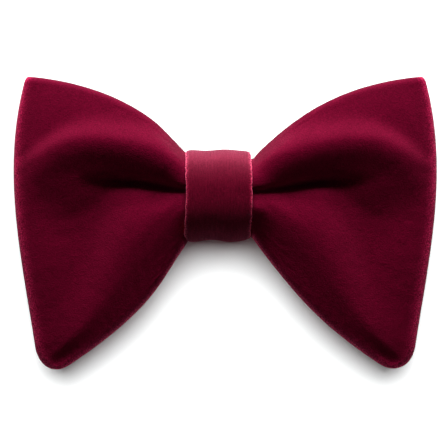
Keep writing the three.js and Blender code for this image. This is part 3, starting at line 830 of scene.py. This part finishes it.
def fold_distances(side):
    """How far the inner and the outer fold of one half lie from the object's middle."""
    return sorted(abs(corner.x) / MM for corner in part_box(side + "_strap_middle"))


def tape(name, path, material, nodes, body=None):
    """A strip of grosgrain along a path in the XY plane."""
    path = np.insert(np.asarray(path, float), 2, 0.0, axis=1)
    obj = sweep(name, path, (0, 0, 1), rounded_section(TAPE_WIDTH, TAPE))
    return dress(obj, material, body, "grosgrain", *nodes)


def bend_between(obj, start, end):
    """Bakes the tape's place into its mesh. start and end, (x, y) places on its path, are not used."""
    places = ((x * MM, (y + SEAM_Y) * MM, 0) for x, y in (start, end))
    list(places)
    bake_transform(obj)


def turn_round(x, outwards):
    """The tape's way round a fitting's bar, entering on the last layer and leaving on the return layer."""
    offsets = [
        (-TURN_IN, LAYERS[2]),
        (-1.8, LAYERS[2] - 0.3),
        (-0.4, FITTING_LAYER - BAR_TURN),
        (BAR_TURN * 0.75, FITTING_LAYER - BAR_TURN * 0.65),
        (BAR_TURN, FITTING_LAYER),
        (BAR_TURN * 0.75, FITTING_LAYER + BAR_TURN * 0.65),
        (-0.4, FITTING_LAYER + BAR_TURN),
        (-1.8, RETURN_LAYER + 0.3),
        (-3.2, RETURN_LAYER),
        (-TURN_OUT, RETURN_LAYER),
    ]
    return smooth_path([(x + outwards * dx, y) for dx, y in offsets], 5)


def build_folds(side, sign, split, material):
    """The two folds of one half of the neckband, up to split, where its last layer goes on as another piece.
    sign is the way the half points along X."""
    inner, outer = (sign * distance for distance in fold_distances(side))
    half = (outer + inner) / 2
    path = joined_path(
        straight((0, LAYERS[0]), (outer, LAYERS[0])),
        half_turn(outer, LAYERS[0], LAYERS[1], sign),
        straight((outer, LAYERS[1]), (half, LAYERS[1])),
    )
    nodes = [side + "_outer_fold"]
    if side == "right":
        nodes.append("neckband_centre")
    obj = tape(side + "_neckband_outer", path, material, nodes)
    start, end = (outer, LAYERS[0] + BEND_CLEAR), (outer, LAYERS[1] - BEND_CLEAR)
    bend_between(obj, start, end)

    path = joined_path(
        straight((half, LAYERS[1]), (inner, LAYERS[1])),
        half_turn(inner, LAYERS[1], LAYERS[2], -sign),
        straight((inner, LAYERS[2]), (split, LAYERS[2])),
    )
    obj = tape(side + "_neckband_inner", path, material, [side + "_strap_middle", side + "_inner_fold"])
    start, end = (inner, LAYERS[1] + BEND_CLEAR), (inner, LAYERS[2] - BEND_CLEAR)
    bend_between(obj, start, end)


def build_right_half(material):
    """Folds, the last layer out to the hook's bar, the turn round it, and the way back to the slider."""
    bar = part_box("hook")[0].x / MM + BAR_INSET
    split = fold_distances("right")[0] + STRETCH_START
    build_folds("right", 1, split, material)

    path = straight((split, LAYERS[2]), (bar - TURN_IN, LAYERS[2]))
    obj = tape("right_neckband_end", path, material, ["right_strap_end"])
    start, end = (split, LAYERS[2]), (bar - TURN_IN - STRETCH_MARGIN, LAYERS[2])
    bend_between(obj, start, end)

    slider_bar = middle_of("slider_frame").x
    stop = slider_bar + SLIDER_OVERLAP
    path = joined_path(turn_round(bar, 1), straight((bar - TURN_OUT, RETURN_LAYER), (stop, RETURN_LAYER)))
    obj = tape("hook_return_tape", path, material, ["hook_tape_turn", "return_tape"])
    start = (bar - TURN_OUT - STRETCH_MARGIN / 2, RETURN_LAYER)
    end = (stop + STRETCH_MARGIN, RETURN_LAYER)
    bend_between(obj, start, end)
    build_slider_loop(slider_bar, material)


def build_slider_loop(bar, material):
    """The tape's end, turned round the slider's bar and sewn down onto the tape."""
    bar_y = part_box("slider_frame")[1].y / MM - SEAM_Y - SLIDER_BAR_HALF
    tab = RETURN_LAYER + TAPE + TAPE_GAP
    top = bar_y + SLIDER_TURN
    flat = (bar + SLIDER_TAB * 2 / 3, tab)
    over = smooth_path([(bar + SLIDER_TAB, tab), flat, (bar + 3.2, top - 0.1), (bar, top)], 6)
    bend = half_turn(bar - SLIDER_BAR_HALF, bar_y - SLIDER_TURN, top, -1)[::-1]
    under = straight((bar, RETURN_LAYER), (bar + SLIDER_OVERLAP, RETURN_LAYER))
    tape("slider_loop", joined_path(over, bend, under), material, ["slider_tape_loop"], "slider")


def build_left_half(material):
    """Folds, the last layer out to the eye's bar, the turn round it, and its end, sewn down."""
    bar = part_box("eye")[1].x / MM - BAR_INSET
    split = (bar - fold_distances("left")[0]) / 2
    build_folds("left", -1, split, material)
    path = joined_path(
        straight((split, LAYERS[2]), (bar + TURN_IN, LAYERS[2])),
        turn_round(bar, -1),
        straight((bar + TURN_OUT, RETURN_LAYER), (bar + EYE_TAPE_END, RETURN_LAYER)),
    )
    tape("left_neckband_end", path, material, ["left_strap_end"], "left_end")


# ---------------------------------------------------------------- CAD nodes that stay
METALS = ("hook", "eye", "slider_frame")
METAL_EDGE = 0.12  # how far the edges of the sheet metal are rounded, in mm


def dress_cad_nodes(metal, thread):
    for name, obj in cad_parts.items():
        if obj.hide_render:  # another piece stands for it
            continue
        obj.data.materials.clear()
        obj.data.materials.append(metal if name in METALS else thread)
        if name in METALS:
            bevel = obj.modifiers.new("soft_edges", "BEVEL")
            bevel.width = METAL_EDGE * MM
            bevel.segments = 2
            bevel.harden_normals = True


# ---------------------------------------------------------------- stage, in m
FLOOR_Z = -0.09
WALL_GAP = 0.002  # between the object and the wall
STAGE_REACH = 2.0
VIEW_WIDTH = 0.1476  # across the picture, at the seam's plane
VIEW_X, VIEW_Z = 0.00181, -0.00939  # the middle of the picture


def plain_world(strength):
    """White to the camera, dimmer as a light."""
    world = bpy.data.worlds.new("world")
    bpy.context.scene.world = world
    world.use_nodes = True
    nodes, links = world.node_tree.nodes, world.node_tree.links
    seen = nodes["Background"]
    lit = nodes.new("ShaderNodeBackground")
    for background in (seen, lit):
        background.inputs["Color"].default_value = (1, 1, 1, 1)
    lit.inputs["Strength"].default_value = strength
    path = nodes.new("ShaderNodeLightPath")
    mix = nodes.new("ShaderNodeMixShader")
    links.new(path.outputs["Is Camera Ray"], mix.inputs["Fac"])
    links.new(lit.outputs["Background"], mix.inputs[1])
    links.new(seen.outputs["Background"], mix.inputs[2])
    links.new(mix.outputs["Shader"], nodes["World Output"].inputs["Surface"])


def paper():
    """White, and clear when seen from behind or nearly edge on."""
    finish = Finish("paper")
    grazing = finish.ranged(finish.facing(), 0.0, 1.0, from_min=0.75, from_max=0.9)
    behind = finish.add("NewGeometry").outputs["Backfacing"]
    unseen = finish.maths("MAXIMUM", behind, grazing)
    white = finish.nodes["Principled BSDF"].outputs["BSDF"]
    clear = finish.add("BsdfTransparent").outputs["BSDF"]
    mix = finish.add("MixShader", {"Fac": unseen, 1: white, 2: clear}).outputs["Shader"]
    finish.feed(finish.nodes["Material Output"].inputs["Surface"], mix)
    return finish.done({"Base Color": (0.88, 0.9, 0.9, 1), "Roughness": 0.9, "Specular IOR Level": 0.0})


def build_stage():
    """A white wall just behind the bow tie, which takes its shadow, and a white floor under it."""
    material = paper()
    wall_y = cad_box[1].y + WALL_GAP
    r = STAGE_REACH
    sheets = {
        "wall": [(-r, wall_y, FLOOR_Z), (r, wall_y, FLOOR_Z), (r, wall_y, r), (-r, wall_y, r)],
        "floor": [(-r, -r, FLOOR_Z), (r, -r, FLOOR_Z), (r, r, FLOOR_Z), (-r, r, FLOOR_Z)],
    }
    made = []
    for name, corners in sheets.items():
        obj = mesh_object(name, corners, [(0, 1, 2, 3)])
        obj.data.materials.append(material)
        obj.visible_shadow = False
        obj.visible_diffuse = False  # no white light thrown back onto the undersides
        made.append(obj)
    return made


def build_camera():
    data = bpy.data.cameras.new("camera")
    data.lens = 200
    data.sensor_width = 36
    camera = bpy.data.objects.new("camera", data)
    bpy.context.collection.objects.link(camera)
    distance = VIEW_WIDTH * data.lens / data.sensor_width
    camera.location = (VIEW_X, SEAM_Y * MM - distance, VIEW_Z)
    camera.rotation_euler = (math.pi / 2, 0, 0)
    bpy.context.scene.camera = camera


def area_light(name, place, target, size, power):
    data = bpy.data.lights.new(name, "AREA")
    data.shape = "RECTANGLE"
    data.size, data.size_y = size
    data.energy = power
    light = bpy.data.objects.new(name, data)
    bpy.context.collection.objects.link(light)
    light.location = place
    light.rotation_mode = "QUATERNION"
    light.rotation_quaternion = (Vector(target) - Vector(place)).to_track_quat("-Z", "Y")


def sun(name, elevation, power, softness):
    """A sun in front of the object, this high above the line of sight; both angles are in degrees."""
    data = bpy.data.lights.new(name, "SUN")
    data.energy = power
    data.angle = math.radians(softness)
    light = bpy.data.objects.new(name, data)
    bpy.context.collection.objects.link(light)
    light.rotation_euler = (math.pi / 2 - math.radians(elevation), 0, 0)
    return light


def light_only(light, objects, included=True):
    """The light reaches only these objects, or all but these."""
    group = bpy.data.collections.new(light.name + "_receivers")
    for obj in objects:
        group.objects.link(obj)
    for link in group.collection_objects:
        link.light_linking.link_state = "INCLUDE" if included else "EXCLUDE"
    light.light_linking.receiver_collection = group


def build_lights(wall, floor):
    light_only(sun("key_light", elevation=72, power=4.8, softness=20), [wall], included=False)
    light_only(sun("ground_light", elevation=25, power=6.5, softness=50), [wall, floor])
    area_light("back_light", place=(0.2, 0.9, 0.5), target=(0, 0, -0.01), size=(0.8, 0.5), power=4)
    plain_world(strength=0.05)


# ---------------------------------------------------------------- the whole
bow_velvet = velvet("burgundy_velvet", BOW_COLOUR_AND_PAINTED_SHEEN, {"painted_highlight": 2.6, "reach": 4.5, "painted_rim_light": 0.07})
knot_velvet = velvet("burgundy_knot_velvet", KNOT_COLOUR_AND_PAINTED_SHEEN, {"painted_highlight": 3.0, "reach": 1.6, "painted_rim_light": 0.0}, ribs=0.9)
canvas = woven("canvas", CANVAS_COLOUR, 1500, 1500, roughness=0.9, sheen=0.2, depth=0.2)
grosgrain = woven("burgundy_grosgrain", TAPE_COLOUR, 1000, 3000, roughness=0.5, sheen=0.12, depth=0.25)

build_bow(bow_velvet, canvas)
build_knot(knot_velvet, canvas)
build_right_half(grosgrain)
build_left_half(grosgrain)
dress_cad_nodes(worn_brass("brass"), twisted_thread("burgundy_thread", THREAD_COLOUR))
wall, floor = build_stage()
build_camera()
build_lights(wall, floor)
bpy.context.scene.view_settings.view_transform = "Standard"
